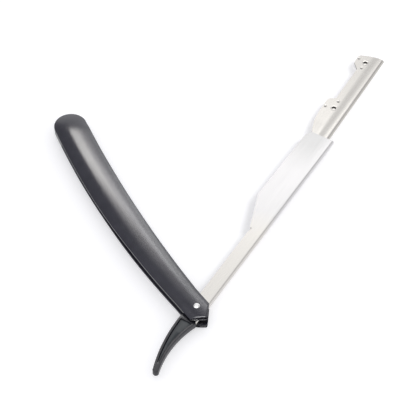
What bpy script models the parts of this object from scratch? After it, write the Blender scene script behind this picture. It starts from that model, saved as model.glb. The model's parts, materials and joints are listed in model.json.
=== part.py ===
"""A folding barber's razor with a slide-out blade holder, at its real size: metres, +Z up.

The razor lies open on its back face.  The handle's two scales run up and to the left from the
pivot, the folded sheet-metal arm runs up and to the right, and the blade holder is drawn out of
the arm's sleeve.  Each piece is made in the frame of the body that carries it, with the pivot at
that frame's origin, X along the body and Z zero at the middle of the handle's thickness.
"""
import math

import bmesh
import bpy
from mathutils import Matrix, Vector

# How the razor lies open
HANDLE_DIRECTION = math.radians(123.3)
ARM_DIRECTION = math.radians(58.66)
HOLDER_TILT = math.radians(1.76)
START_HEADING = math.radians(2.75)

# Clearances and allowances
RUNNING_CLEARANCE = 0.00005
SEAT_CLEARANCE = 0.0001
END_CLEARANCE = 0.0003
OVERRUN = 0.002
WELD = 0.000001

# Arm: one sheet folded into a channel, which widens into a sleeve
SHEET = 0.0005
ARM_THICKNESS = 0.0029
ARM_FOLD_RADIUS = 0.001
ARM_REACH = 0.1254
ARM_WIDTH = 0.0073
SPINE_OFFSET = 0.0038
SLEEVE_MOUTH_WIDTH = 0.0146
SLEEVE_HEEL_WIDTH = 0.0151
SLEEVE_EDGE_LENGTH = 0.0463
MOUTH_CHAMFER = 0.0035
MOUTH_CHAMFER_DEPTH = 0.0018
FLARE_RUN = 0.0203
FLARE_STEP = 0.0006
NICK_LENGTH = 0.003
NICK_DEPTH = 0.0007
SPINE_TAIL = 0.0063
LEAF_TAIL = 0.0009

# Tang: the plastic finger rest behind the pivot
TANG_ROOT = 0.0066
TANG_ROOT_SLANT = 0.0009
TANG_EDGE_WIDTH = 0.0047
TANG_SPINE_WIDTH = 0.0037
TANG_WAIST = 0.0192
TANG_WAIST_EDGE = 0.00415
TANG_WAIST_SPINE = -0.0012
TANG_LENGTH = 0.0381
TANG_TIP_DROP = 0.0018
TANG_TIP_RADIUS = 0.0015
TANG_ROUNDING = 0.0004
TONGUE_REACH = 0.018
PANEL_RIM = 0.0011
PANEL_DEPTH = 0.0005
PANEL_ROOT = 0.0009
PANEL_END = 0.0045

# Pivot: a peened pin through two collars, with a thrust washer on each side of the arm
PIN_RADIUS = 0.001
PIN_HEAD_RADIUS = 0.00115
PIN_HEAD_HEIGHT = 0.00025
COLLAR_RADIUS = 0.0015
COLLAR_HEIGHT = 0.0006
COLLAR_ROUNDING = 0.0002
WASHER_THICKNESS = 0.0003
WASHER_RADIUS = 0.0032
BOSS_RADIUS = 0.0036
COLLAR_SINK = 0.0002
COLLAR_ROOM = 0.00015

# Scales: two moulded shells on a curved centre line
CENTRELINE_RADIUS = 0.557
PIVOT_HALF_WIDTH = 0.00625
BULB_RADIUS = 0.00825
FLARE_START = 0.008
FLARE_LENGTH = 0.095
SCALE_CROWN = 0.00445
LAND_DEPTH = 0.00025
SCALE_WALL = 0.0012
SCALE_RIM = 0.0008
SLOT_HALF_GAP = 0.00175
SLOT_ROOM = 0.0055
CONVEX_TAPER_START = 0.04
CONVEX_TAPER_LENGTH = 0.038
HOLLOW_TAPER_LENGTH = 0.003
POINT_REACH = 0.0091
POINT_ACROSS = -0.0001
POINT_RADIUS = 0.0009
CONVEX_CORNER = 0.0041
HOLLOW_CORNER = 0.0018
CROWN_POWER = 2.2

# Wedge between the scales in the bulb, with a moulded peg at each end of each face
WEDGE_LENGTH = 0.0101
WEDGE_THICKNESS = 0.0017
WEDGE_FINGER = 0.0079
WEDGE_FINGER_WIDTH = 0.005
PEG_RADIUS = 0.001
PEG_HEIGHT = 0.001
PEG_SPACING = 0.007

# Blade holder: a folded sheet with a rolled back, drawn out of the sleeve
HOLDER_SHEET = 0.0004
HOLDER_THICKNESS = 0.0009
HOLDER_SPINE_OFFSET = 0.0047
RIDGE_OFFSET = 0.0024
RIDGE_RISE = 0.0004
COVE_WIDTH = 0.0048
HOLDER_OUT = 0.0649
HOLDER_TAB_WIDTH = 0.0089
HOLDER_NOTCH_WIDTH = 0.0053
HOLDER_TIP_RADIUS = 0.0185
HOLDER_TIP_PEAK = -0.001
UPPER_TAB_LENGTH = 0.0088
UPPER_TAB_CORNER = 0.0006
UPPER_TAB_RAMP = 0.0037
NOTCH_LENGTH = 0.0241
LOWER_TAB_RAMP = 0.0019
LOWER_TAB_LENGTH = 0.0146
HOLDER_TAPER_LENGTH = 0.0102
HOLDER_TAPER_DEPTH = 0.0031
HOLDER_GRIP_LENGTH = 0.0148
HOLDER_GRIP_WIDTH = 0.0016
BLADE_PIN_RADIUS = 0.001
BLADE_PIN_ROOM = 0.00015
BLADE_PIN_INSET = 0.0064
BLADE_PIN_SPACING = 0.0373
UPPER_PIN_OFFSET = 0.0034
LOWER_PIN_OFFSET = 0.0031
BLADE_PIN_SINK = 0.0002
BUMP_RADIUS = 0.0009
BUMP_HEIGHT = 0.0003
TOOTH_OFFSET = 0.0044
TOOTH_STEP = 0.0011
INNER_BUMP_STEP = 0.0048

# How finely curves are drawn
ROUND_STEPS = 24
ARC_STEPS = 5
OUTLINE_STEPS = 10
BODY_STATIONS = 20
BULB_STATIONS = 8
ACROSS_STEPS = 12
BULB_END_ANGLE = math.radians(86)
FLAT_ANGLE = math.radians(0.05)

# Sizes that follow from those above
HALF_ARM = ARM_THICKNESS / 2
HALF_TONGUE = HALF_ARM - SHEET - SEAT_CLEARANCE
EDGE_OFFSET = ARM_WIDTH - SPINE_OFFSET
PIN_HOLE_RADIUS = PIN_RADIUS + RUNNING_CLEARANCE
BOSS_FACE = HALF_ARM + WASHER_THICKNESS + RUNNING_CLEARANCE + RUNNING_CLEARANCE
REST_HEIGHT = SCALE_CROWN - LAND_DEPTH
SLOT_END = ARM_REACH + SLOT_ROOM
HANDLE_REACH = SLOT_END + WEDGE_LENGTH
BULB_CENTRE = HANDLE_REACH - BULB_RADIUS
WEDGE_HALF = WEDGE_THICKNESS / 2
WEDGE_SEAT_HALF_GAP = WEDGE_HALF + SEAT_CLEARANCE
PEG_HOLE_RADIUS = PEG_RADIUS + RUNNING_CLEARANCE
HOLDER_TIP = ARM_REACH + HOLDER_OUT
HALF_HOLDER = HOLDER_THICKNESS / 2
HALF_BLADE_SLOT = HALF_HOLDER - HOLDER_SHEET
BLADE_SEAT_RADIUS = BLADE_PIN_RADIUS + RUNNING_CLEARANCE
BLADE_WINDOW_RADIUS = BLADE_PIN_RADIUS + BLADE_PIN_ROOM
COLLAR_SEAT_RADIUS = COLLAR_RADIUS + COLLAR_ROOM
FRONT_SEAT = SCALE_CROWN - COLLAR_SINK
REAR_SEAT = REST_HEIGHT - COLLAR_HEIGHT - PIN_HEAD_HEIGHT - SEAT_CLEARANCE


def clear_scene():
    for thing in list(bpy.data.objects):
        bpy.data.objects.remove(thing, do_unlink=True)


def make_collection(name):
    collection = bpy.data.collections.new(name)
    bpy.context.scene.collection.children.link(collection)
    return collection


def make_material(name, colour, roughness, metallic):
    material = bpy.data.materials.new(name)
    material.use_nodes = True
    shader = material.node_tree.nodes["Principled BSDF"]
    shader.inputs["Base Color"].default_value = (*colour, 1.0)
    shader.inputs["Roughness"].default_value = roughness
    shader.inputs["Metallic"].default_value = metallic
    return material


def make_frame(name, direction, parent, collection):
    """An empty whose X axis points along a body, in the plane that the razor lies in."""
    frame = bpy.data.objects.new(name, None)
    frame.rotation_euler = (0, 0, direction)
    frame.parent = parent
    collection.objects.link(frame)
    return frame


def add_object(name, mesh, frame, collection, material=None):
    thing = bpy.data.objects.new(name, mesh)
    thing.parent = frame
    collection.objects.link(thing)
    if material:
        mesh.materials.append(material)
    return thing


def as_cutter(thing):
    thing.hide_render = True
    thing.display_type = 'WIRE'
    return thing


def combine(thing, other, operation):
    modifier = thing.modifiers.new(other.name, 'BOOLEAN')
    modifier.operation = operation
    modifier.solver = 'EXACT'
    modifier.object = other


def shade(thing, angle=math.radians(35)):
    thing.data.shade_smooth()
    thing.data.set_sharp_from_angle(angle=angle)


def arc(centre, radius, start, end, steps=ARC_STEPS):
    """Points on an arc, from one angle to another, both ends included."""
    angles = [start + (end - start) * step / steps for step in range(steps + 1)]
    return [(centre[0] + radius * math.cos(angle), centre[1] + radius * math.sin(angle))
            for angle in angles]


def arc_through(first, middle, last, steps=OUTLINE_STEPS):
    """Points on the circle through three points, from the first to the last."""
    (ax, ay), (bx, by), (cx, cy) = first, middle, last
    twice_area = 2 * (ax * (by - cy) + bx * (cy - ay) + cx * (ay - by))
    a_square, b_square, c_square = ax * ax + ay * ay, bx * bx + by * by, cx * cx + cy * cy
    x = (a_square * (by - cy) + b_square * (cy - ay) + c_square * (ay - by)) / twice_area
    y = (a_square * (cx - bx) + b_square * (ax - cx) + c_square * (bx - ax)) / twice_area
    start = math.atan2(ay - y, ax - x)
    end = math.atan2(cy - y, cx - x)
    turn = (end - start + math.pi) % math.tau - math.pi
    return arc((x, y), math.hypot(ax - x, ay - y), start, start + turn, steps)


def plate_mesh(name, outline, low, high):
    """A flat piece with a given outline between two heights, from a filled and extruded curve."""
    curve = bpy.data.curves.new(name, 'CURVE')
    curve.dimensions = '2D'
    curve.fill_mode = 'BOTH'
    curve.extrude = (high - low) / 2
    spline = curve.splines.new('POLY')
    spline.points.add(len(outline) - 1)
    for point, (x, y) in zip(spline.points, outline):
        point.co = (x, y, 0, 1)
    spline.use_cyclic_u = True
    drawn = bpy.data.objects.new(name, curve)
    bpy.context.scene.collection.objects.link(drawn)
    depsgraph = bpy.context.evaluated_depsgraph_get()
    mesh = bpy.data.meshes.new_from_object(drawn.evaluated_get(depsgraph))
    bpy.data.objects.remove(drawn, do_unlink=True)
    shape = bmesh.new()
    shape.from_mesh(mesh)
    bmesh.ops.remove_doubles(shape, verts=shape.verts, dist=WELD)
    bmesh.ops.dissolve_limit(shape, angle_limit=FLAT_ANGLE, verts=shape.verts, edges=shape.edges)
    bmesh.ops.translate(shape, verts=shape.verts, vec=(0, 0, (high + low) / 2))
    bmesh.ops.recalc_face_normals(shape, faces=shape.faces)
    shape.to_mesh(mesh)
    shape.free()
    return mesh


def folded_mesh(name, profile, start, end):
    """A sheet profile of across and up values, drawn out along the body between two places."""
    mesh = plate_mesh(name, profile, start, end)
    mesh.transform(Matrix(((0, 0, 1, 0), (1, 0, 0, 0), (0, 1, 0, 0), (0, 0, 0, 1))))
    return mesh


def cylinder_mesh(name, radius, low, high, place=(0, 0)):
    mesh = bpy.data.meshes.new(name)
    shape = bmesh.new()
    bmesh.ops.create_cone(shape, cap_ends=True, segments=ROUND_STEPS, radius1=radius,
                          radius2=radius, depth=high - low)
    bmesh.ops.translate(shape, verts=shape.verts, vec=(*place, (high + low) / 2))
    shape.to_mesh(mesh)
    shape.free()
    return mesh


def loft_mesh(name, rings):
    """A closed skin over rings that all have the same number of points."""
    mesh = bpy.data.meshes.new(name)
    shape = bmesh.new()
    loops = [[shape.verts.new(point) for point in ring] for ring in rings]
    count = len(loops[0])
    for lower, upper in zip(loops, loops[1:]):
        for place in range(count):
            after = (place + 1) % count
            shape.faces.new((lower[place], lower[after], upper[after], upper[place]))
    shape.faces.new(loops[0])
    shape.faces.new(loops[-1])
    bmesh.ops.recalc_face_normals(shape, faces=shape.faces)
    shape.to_mesh(mesh)
    shape.free()
    return mesh


def turned_object(name, profile, closed, frame, collection, material):
    """A turned piece: a profile of radius and height, run down its outer side, and a Screw."""
    mesh = bpy.data.meshes.new(name)
    shape = bmesh.new()
    points = [shape.verts.new((radius, 0, height)) for radius, height in profile]
    for first, second in zip(points, points[1:]):
        shape.edges.new((first, second))
    if closed:
        shape.edges.new((points[-1], points[0]))
    shape.to_mesh(mesh)
    shape.free()
    thing = add_object(name, mesh, frame, collection, material)
    screw = thing.modifiers.new("turn", 'SCREW')
    screw.steps = ROUND_STEPS
    screw.render_steps = ROUND_STEPS
    screw.use_merge_vertices = True
    screw.merge_threshold = WELD
    screw.use_smooth_shade = True
    return thing


def centre_at(reach):
    """The handle's centre line at a distance along it from the pivot: its point and heading."""
    heading = START_HEADING - reach / CENTRELINE_RADIUS
    x = CENTRELINE_RADIUS * (math.sin(START_HEADING) - math.sin(heading))
    y = CENTRELINE_RADIUS * (math.cos(heading) - math.cos(START_HEADING))
    return Vector((x, y)), heading


def handle_point(reach, across):
    """A point of the handle's plan; across is positive towards its bulging edge."""
    centre, heading = centre_at(reach)
    return centre + across * Vector((-math.sin(heading), math.cos(heading)))


def half_width(reach):
    """Half of the handle's width, which ends in a round bulb."""
    past = reach - BULB_CENTRE
    if past > 0:
        return math.sqrt(max(BULB_RADIUS ** 2 - past ** 2, 0))
    share = min(max((reach - FLARE_START) / FLARE_LENGTH, 0), 1)
    return PIVOT_HALF_WIDTH + (BULB_RADIUS - PIVOT_HALF_WIDTH) * math.sin(share * math.pi / 2)


def eased(reach, start, length):
    share = min(max((reach - start) / length, 0), 1)
    return share * share * (3 - 2 * share)


def half_gap(reach, across_share):
    """Half of the slot's height: it closes to the wedge, early along the bulging edge."""
    fall = WEDGE_SEAT_HALF_GAP - SLOT_HALF_GAP
    convex = fall * eased(reach, CONVEX_TAPER_START, CONVEX_TAPER_LENGTH)
    hollow = fall * eased(reach, SLOT_END - HOLLOW_TAPER_LENGTH, HOLLOW_TAPER_LENGTH)
    side = (across_share + 1) / 2
    return SLOT_HALF_GAP + hollow + (convex - hollow) * side


def crown_height(reach, across, half, base, top):
    """Height of a domed surface that rises from its base at the edge to its top."""
    past = max(reach - BULB_CENTRE, 0)
    whole = BULB_RADIUS if past else half
    share = min(math.hypot(past, across) / whole, 1)
    return base + (top - base) * (1 - share ** CROWN_POWER)


def scale_ring(reach, side):
    """One section of a scale before it is hollowed, from edge to edge over the dome."""
    half = half_width(reach)
    ring = []
    for step in range(ACROSS_STEPS + 1):
        share = -math.cos(math.pi * step / ACROSS_STEPS)
        base = half_gap(reach, share)
        x, y = handle_point(reach, share * half)
        height = crown_height(reach, share * half, half, base + SCALE_RIM, SCALE_CROWN)
        edge = (x, y, side * base)
        dome = (x, y, side * height)
        if step == 0:
            ring += [edge, dome]
        elif step == ACROSS_STEPS:
            ring += [dome, edge]
        else:
            ring.append(dome)
    return ring


def hollow_ring(reach, side):
    """One section of a scale's hollow, which is clear of the arm right up to its walls."""
    half = half_width(reach) - SCALE_WALL
    top = SCALE_CROWN - SCALE_WALL
    ring = []
    for step in range(ACROSS_STEPS + 1):
        across = -math.cos(math.pi * step / ACROSS_STEPS) * half
        height = crown_height(reach, across, half, SLOT_HALF_GAP, top)
        ring.append((*handle_point(reach, across), side * height))
    foot = side * (SLOT_HALF_GAP - OVERRUN)
    return [(*ring[0][:2], foot)] + ring + [(*ring[-1][:2], foot)]


def stations(start, end, count):
    return [start + (end - start) * step / count for step in range(count + 1)]


def scale_solid(name, side):
    bulb = [BULB_CENTRE + BULB_RADIUS * math.sin(BULB_END_ANGLE * step / BULB_STATIONS)
            for step in range(1, BULB_STATIONS + 1)]
    reaches = stations(-POINT_REACH - OVERRUN, BULB_CENTRE, BODY_STATIONS) + bulb
    rings = [scale_ring(reach, side) for reach in reaches]
    return loft_mesh(name, rings)


def hollow_solid(name, side):
    """What is taken out of a scale: it starts past the pointed end and stops at the wedge."""
    reaches = stations(-POINT_REACH - OVERRUN - OVERRUN, SLOT_END, BODY_STATIONS)
    rings = [hollow_ring(reach, side) for reach in reaches]
    return loft_mesh(name, rings)


def point_cutter(frame, cutters):
    """What lies outside the two straight cuts that point the handle's pivot end."""
    tip = Vector((-POINT_REACH, POINT_ACROSS))
    convex = handle_point(-CONVEX_CORNER, half_width(-CONVEX_CORNER))
    hollow = handle_point(-HOLLOW_CORNER, -half_width(-HOLLOW_CORNER))
    convex_way = (convex - tip).normalized()
    hollow_way = (hollow - tip).normalized()
    half_angle = convex_way.angle(hollow_way) / 2
    centre = tip + (convex_way + hollow_way).normalized() * POINT_RADIUS / math.sin(half_angle)
    start = math.atan2(convex_way.y, convex_way.x) + math.pi / 2
    end = math.atan2(hollow_way.y, hollow_way.x) - math.pi / 2 + math.tau
    far = BULB_RADIUS
    outline = [(-POINT_REACH - far, convex.y + far), tuple(convex + convex_way * far)]
    outline += arc(tuple(centre), POINT_RADIUS, start, end)
    outline += [tuple(hollow + hollow_way * far), (-POINT_REACH - far, hollow.y - far)]
    mesh = plate_mesh("point_cut", outline, -SCALE_CROWN - OVERRUN, SCALE_CROWN + OVERRUN)
    as_cutter(add_object("point_cut", mesh, frame, cutters))


def peg_places():
    middle = (SLOT_END + HANDLE_REACH) / 2
    return [tuple(handle_point(middle, side * PEG_SPACING / 2)) for side in (-1, 1)]


def make_scale(name, side, frame, parts, cutters, material):
    """One shell of the handle; side is 1 for the front scale and -1 for the rear one."""
    scale = add_object(name, scale_solid(name, side), frame, parts, material)
    hollow = add_object(name + "_hollow", hollow_solid(name + "_hollow", side), frame, cutters)
    combine(scale, as_cutter(hollow), 'DIFFERENCE')
    low, high = sorted((side * BOSS_FACE, side * (SCALE_CROWN - SCALE_WALL * 3 / 4)))
    boss_mesh = cylinder_mesh(name + "_boss", BOSS_RADIUS, low, high)
    boss = add_object(name + "_boss", boss_mesh, frame, cutters)
    combine(scale, as_cutter(boss), 'UNION')
    combine(scale, cutters.objects["point_cut"], 'DIFFERENCE')
    seat_height = FRONT_SEAT if side > 0 else REAR_SEAT
    low, high = sorted((side * seat_height, side * (SCALE_CROWN + OVERRUN)))
    seat_mesh = cylinder_mesh(name + "_collar_seat", COLLAR_SEAT_RADIUS, low, high)
    seat = add_object(name + "_collar_seat", seat_mesh, frame, cutters)
    combine(scale, as_cutter(seat), 'DIFFERENCE')
    low, high = sorted((0, side * (SCALE_CROWN + OVERRUN)))
    hole_mesh = cylinder_mesh(name + "_pin_hole", PIN_HOLE_RADIUS, low, high)
    hole = add_object(name + "_pin_hole", hole_mesh, frame, cutters)
    combine(scale, as_cutter(hole), 'DIFFERENCE')
    top = side * (WEDGE_HALF + PEG_HEIGHT + SEAT_CLEARANCE)
    low, high = sorted((0, top))
    for number, place in enumerate(peg_places(), 1):
        title = f"{name}_peg_hole_{number}"
        peg_mesh = cylinder_mesh(title, PEG_HOLE_RADIUS, low, high, place)
        combine(scale, as_cutter(add_object(title, peg_mesh, frame, cutters)), 'DIFFERENCE')
    return scale


def cut_rest_land(scale, frame, cutters):
    """A flat land along the rear scale's crown, which the razor lies on."""
    reach = HANDLE_REACH + BULB_RADIUS
    outline = [(-reach, -reach), (reach, -reach), (reach, reach), (-reach, reach)]
    mesh = plate_mesh("rest_land", outline, -SCALE_CROWN - OVERRUN, -REST_HEIGHT)
    combine(scale, as_cutter(add_object("rest_land", mesh, frame, cutters)), 'DIFFERENCE')


def make_wedge(frame, parts, cutters, material):
    bulb = [BULB_CENTRE + BULB_RADIUS * math.sin(BULB_END_ANGLE * step / BULB_STATIONS)
            for step in range(BULB_STATIONS + 1)]
    convex = [SLOT_END - WEDGE_FINGER, SLOT_END] + bulb
    hollow = [SLOT_END] + bulb
    outline = [tuple(handle_point(reach, half_width(reach))) for reach in convex]
    outline += [tuple(handle_point(reach, -half_width(reach))) for reach in hollow[::-1]]
    shoulder = half_width(SLOT_END) - WEDGE_FINGER_WIDTH
    outline.append(tuple(handle_point(SLOT_END, shoulder)))
    mesh = plate_mesh("handle_wedge", outline, -WEDGE_HALF, WEDGE_HALF)
    wedge = add_object("handle_wedge", mesh, frame, parts, material)
    peg_top = WEDGE_HALF + PEG_HEIGHT
    for number, place in enumerate(peg_places(), 1):
        title = f"wedge_peg_{number}"
        peg_mesh = cylinder_mesh(title, PEG_RADIUS, -peg_top, peg_top, place)
        combine(wedge, as_cutter(add_object(title, peg_mesh, frame, cutters)), 'UNION')
    return wedge


def ring_profile(inner, outer, low, high, rounding, faces_up):
    """Profile of a ring, run down its outer side, with its outer top or bottom corner rounded."""
    if faces_up:
        corner = arc((outer - rounding, high - rounding), rounding, math.pi / 2, 0)
        return [(inner, high)] + corner + [(outer, low), (inner, low)]
    corner = arc((outer - rounding, low + rounding), rounding, 0, -math.pi / 2)
    return [(inner, high), (outer, high)] + corner + [(inner, low)]


def make_pivot(frame, parts, metal, washer_material):
    collar_hole = PIN_RADIUS + RUNNING_CLEARANCE
    front_low = FRONT_SEAT + RUNNING_CLEARANCE
    front_high = front_low + COLLAR_HEIGHT
    rear_high = -REAR_SEAT - RUNNING_CLEARANCE
    rear_low = rear_high - COLLAR_HEIGHT
    profile = ring_profile(collar_hole, COLLAR_RADIUS, front_low, front_high, COLLAR_ROUNDING, True)
    turned_object("front_collar", profile, True, frame, parts, metal)
    profile = ring_profile(collar_hole, COLLAR_RADIUS, rear_low, rear_high, COLLAR_ROUNDING, False)
    turned_object("rear_collar", profile, True, frame, parts, metal)
    front_head = front_high + RUNNING_CLEARANCE
    rear_head = rear_low - RUNNING_CLEARANCE
    front_dome = [(PIN_HEAD_RADIUS * math.sin(math.pi / 2 * step / ARC_STEPS),
                   front_head + PIN_HEAD_HEIGHT * math.cos(math.pi / 2 * step / ARC_STEPS))
                  for step in range(ARC_STEPS + 1)]
    rear_top = rear_head - PIN_HEAD_HEIGHT + RUNNING_CLEARANCE
    pin = front_dome + [(PIN_RADIUS, front_head), (PIN_RADIUS, rear_head)]
    pin += [(PIN_HEAD_RADIUS, rear_head), (PIN_HEAD_RADIUS, rear_top), (0, rear_top)]
    turned_object("pivot_pin", pin, False, frame, parts, metal)
    low = HALF_ARM + RUNNING_CLEARANCE
    high = low + WASHER_THICKNESS
    for name, bottom, top in (("front_thrust_washer", low, high),
                              ("rear_thrust_washer", -high, -low)):
        profile = [(PIN_HOLE_RADIUS, top), (WASHER_RADIUS, top), (WASHER_RADIUS, bottom),
                   (PIN_HOLE_RADIUS, bottom)]
        turned_object(name, profile, True, frame, parts, washer_material)


def channel_profile():
    """Across and up values of the folded arm: two leaves and the rounded fold along the spine."""
    spine = -SPINE_OFFSET
    edge = SLEEVE_HEEL_WIDTH
    inner = HALF_ARM - SHEET
    inner_radius = ARM_FOLD_RADIUS - SHEET
    centre = spine + ARM_FOLD_RADIUS
    level = HALF_ARM - ARM_FOLD_RADIUS
    quarter = math.pi / 2
    outline = [(edge, HALF_ARM)]
    outline += arc((centre, level), ARM_FOLD_RADIUS, quarter, math.pi)
    outline += arc((centre, -level), ARM_FOLD_RADIUS, math.pi, math.pi + quarter)
    outline += [(edge, -HALF_ARM), (edge, -inner)]
    outline += arc((centre, -level), inner_radius, math.pi + quarter, math.pi)
    outline += arc((centre, level), inner_radius, math.pi, quarter)
    outline.append((edge, inner))
    return outline


def arm_blank():
    """Plan of the arm: where the leaves are cut along their open edge and at both ends."""
    spine = -SPINE_OFFSET - OVERRUN
    heel = ARM_REACH - MOUTH_CHAMFER - SLEEVE_EDGE_LENGTH
    flare = heel - FLARE_RUN
    mouth_edge = SLEEVE_MOUTH_WIDTH - SPINE_OFFSET
    heel_edge = SLEEVE_HEEL_WIDTH - SPINE_OFFSET
    return [
        (-SPINE_TAIL, -SPINE_OFFSET), (-SPINE_TAIL, spine), (ARM_REACH, spine),
        (ARM_REACH, mouth_edge - MOUTH_CHAMFER_DEPTH), (ARM_REACH - MOUTH_CHAMFER, mouth_edge),
        (heel, heel_edge), (flare, EDGE_OFFSET + FLARE_STEP), (flare, EDGE_OFFSET - NICK_DEPTH),
        (flare - NICK_LENGTH, EDGE_OFFSET), (-LEAF_TAIL, EDGE_OFFSET)]


def make_arm(frame, parts, cutters, material):
    start = -SPINE_TAIL - OVERRUN
    mesh = folded_mesh("arm_channel", channel_profile(), start, ARM_REACH + OVERRUN)
    arm = add_object("arm_channel", mesh, frame, parts, material)
    blank_mesh = plate_mesh("arm_blank", arm_blank(), -ARM_THICKNESS, ARM_THICKNESS)
    combine(arm, as_cutter(add_object("arm_blank", blank_mesh, frame, cutters)), 'INTERSECT')
    hole_mesh = cylinder_mesh("arm_pin_hole", PIN_HOLE_RADIUS, -ARM_THICKNESS, ARM_THICKNESS)
    combine(arm, as_cutter(add_object("arm_pin_hole", hole_mesh, frame, cutters)), 'DIFFERENCE')
    return arm


def tang_edges(rim, root_inset):
    """The two long curved edges of the finger rest, or of its panel inside a rim."""
    root = TANG_ROOT + root_inset
    edge = arc_through((-root, TANG_EDGE_WIDTH - rim), (-TANG_WAIST, TANG_WAIST_EDGE - rim),
                       (-TANG_LENGTH, -TANG_TIP_DROP + TANG_TIP_RADIUS - rim))
    spine = arc_through((-root - TANG_ROOT_SLANT, -TANG_SPINE_WIDTH + rim),
                        (-TANG_WAIST, TANG_WAIST_SPINE + rim),
                        (-TANG_LENGTH, -TANG_TIP_DROP - TANG_TIP_RADIUS + rim))
    return edge, spine


def tang_plan():
    """Plan of the tang, whose shoulder follows the slanted tail of the arm at a small gap."""
    edge, spine = tang_edges(0, 0)
    tip = arc((-TANG_LENGTH, -TANG_TIP_DROP), TANG_TIP_RADIUS, math.pi / 2, 3 * math.pi / 2)
    shoulder = [(-SPINE_TAIL - END_CLEARANCE, -SPINE_OFFSET),
                (-LEAF_TAIL - END_CLEARANCE, EDGE_OFFSET)]
    return shoulder + edge + tip[1:-1] + spine[::-1]


def panel_plan():
    """The panel stops short of the tip, where the rims would meet."""
    edge, spine = tang_edges(PANEL_RIM, PANEL_ROOT)
    end = PANEL_END - TANG_LENGTH
    return [point for point in edge + spine[::-1] if point[0] >= end]


def make_tang(frame, parts, cutters, material):
    mesh = plate_mesh("tang", tang_plan(), -HALF_ARM, HALF_ARM)
    tang = add_object("tang", mesh, frame, parts, material)
    bevel = tang.modifiers.new("soft_edges", 'BEVEL')
    bevel.width = TANG_ROUNDING
    bevel.segments = 2
    bevel.limit_method = 'ANGLE'
    inner_spine = -SPINE_OFFSET + ARM_FOLD_RADIUS
    inner_edge = EDGE_OFFSET - NICK_DEPTH
    tongue = [(-TANG_ROOT - OVERRUN, inner_spine), (TONGUE_REACH, inner_spine),
              (TONGUE_REACH, inner_edge), (-TANG_ROOT - OVERRUN, inner_edge)]
    tongue_mesh = plate_mesh("tang_tongue", tongue, -HALF_TONGUE, HALF_TONGUE)
    combine(tang, as_cutter(add_object("tang_tongue", tongue_mesh, frame, cutters)), 'UNION')
    panel = panel_plan()
    floor = HALF_ARM - PANEL_DEPTH
    for name, low, high in (("front_panel", floor, ARM_THICKNESS),
                            ("rear_panel", -ARM_THICKNESS, -floor)):
        cutter = add_object(name, plate_mesh(name, panel, low, high), frame, cutters)
        combine(tang, as_cutter(cutter), 'DIFFERENCE')
    hole_mesh = cylinder_mesh("tang_pin_hole", PIN_HOLE_RADIUS, -ARM_THICKNESS, ARM_THICKNESS)
    combine(tang, as_cutter(add_object("tang_pin_hole", hole_mesh, frame, cutters)), 'DIFFERENCE')
    return tang


def holder_side(inset):
    """Across and up values of one face of the holder's sheet: leaf, cove, ridge and back."""
    level = HALF_HOLDER - inset
    outline = [(HOLDER_TAB_WIDTH + OVERRUN, level)]
    for across in stations(COVE_WIDTH - RIDGE_OFFSET, -RIDGE_OFFSET, OUTLINE_STEPS):
        rise = RIDGE_RISE * (1 - eased(across, -RIDGE_OFFSET, COVE_WIDTH))
        outline.append((across, level + rise))
    length = HOLDER_SPINE_OFFSET - RIDGE_OFFSET - inset
    for angle in stations(0, math.pi / 2, ARC_STEPS)[1:-1]:
        outline.append((-RIDGE_OFFSET - length * math.sin(angle),
                        (level + RIDGE_RISE) * math.cos(angle)))
    back = [(-RIDGE_OFFSET - length, 0)]
    return outline + back + [(across, -height) for across, height in outline[::-1]]


def holder_profile():
    """The folded sheet's section: its outer face, and its inner one round a thin slot."""
    return holder_side(0) + holder_side(HOLDER_SHEET)[::-1]


def holder_places():
    """Places along the holder, from its tip down to the end of its grip."""
    upper_tab = HOLDER_TIP - UPPER_TAB_LENGTH
    notch_top = upper_tab - UPPER_TAB_RAMP
    notch_end = notch_top - NOTCH_LENGTH
    lower_tab = notch_end - LOWER_TAB_RAMP
    taper = lower_tab - LOWER_TAB_LENGTH
    grip = taper - HOLDER_TAPER_LENGTH
    return upper_tab, notch_top, notch_end, lower_tab, taper, grip


def tip_at(across):
    """A point of the holder's bowed tip, at a place across it."""
    return HOLDER_TIP - (across - HOLDER_TIP_PEAK) ** 2 / (2 * HOLDER_TIP_RADIUS), across


def holder_blank():
    upper_tab, notch_top, notch_end, lower_tab, taper, grip = holder_places()
    spine = -HOLDER_SPINE_OFFSET - OVERRUN
    corner = tip_at(HOLDER_TAB_WIDTH - UPPER_TAB_CORNER)
    grip_end = grip - HOLDER_GRIP_LENGTH
    return [(grip_end, spine)] + arc_through(tip_at(spine), tip_at(HOLDER_TIP_PEAK), corner) + [
        (corner[0] - UPPER_TAB_CORNER, HOLDER_TAB_WIDTH),
        (upper_tab, HOLDER_TAB_WIDTH), (notch_top, HOLDER_NOTCH_WIDTH),
        (notch_end, HOLDER_NOTCH_WIDTH), (lower_tab, HOLDER_TAB_WIDTH),
        (taper, HOLDER_TAB_WIDTH), (grip, HOLDER_TAB_WIDTH - HOLDER_TAPER_DEPTH),
        (grip - HOLDER_TAPER_DEPTH, HOLDER_GRIP_WIDTH), (grip_end, HOLDER_GRIP_WIDTH)]


def blade_pin_places():
    first = HOLDER_TIP - BLADE_PIN_INSET
    return (first, UPPER_PIN_OFFSET), (first - BLADE_PIN_SPACING, LOWER_PIN_OFFSET)


def bump_places():
    """Two pressed bumps by each blade pin: one towards the edge and one towards the notch."""
    upper, lower = blade_pin_places()
    for (along, across), inward in ((upper, -1), (lower, 1)):
        yield along - inward * TOOTH_STEP, across + TOOTH_OFFSET
        yield along + inward * INNER_BUMP_STEP, across


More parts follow.
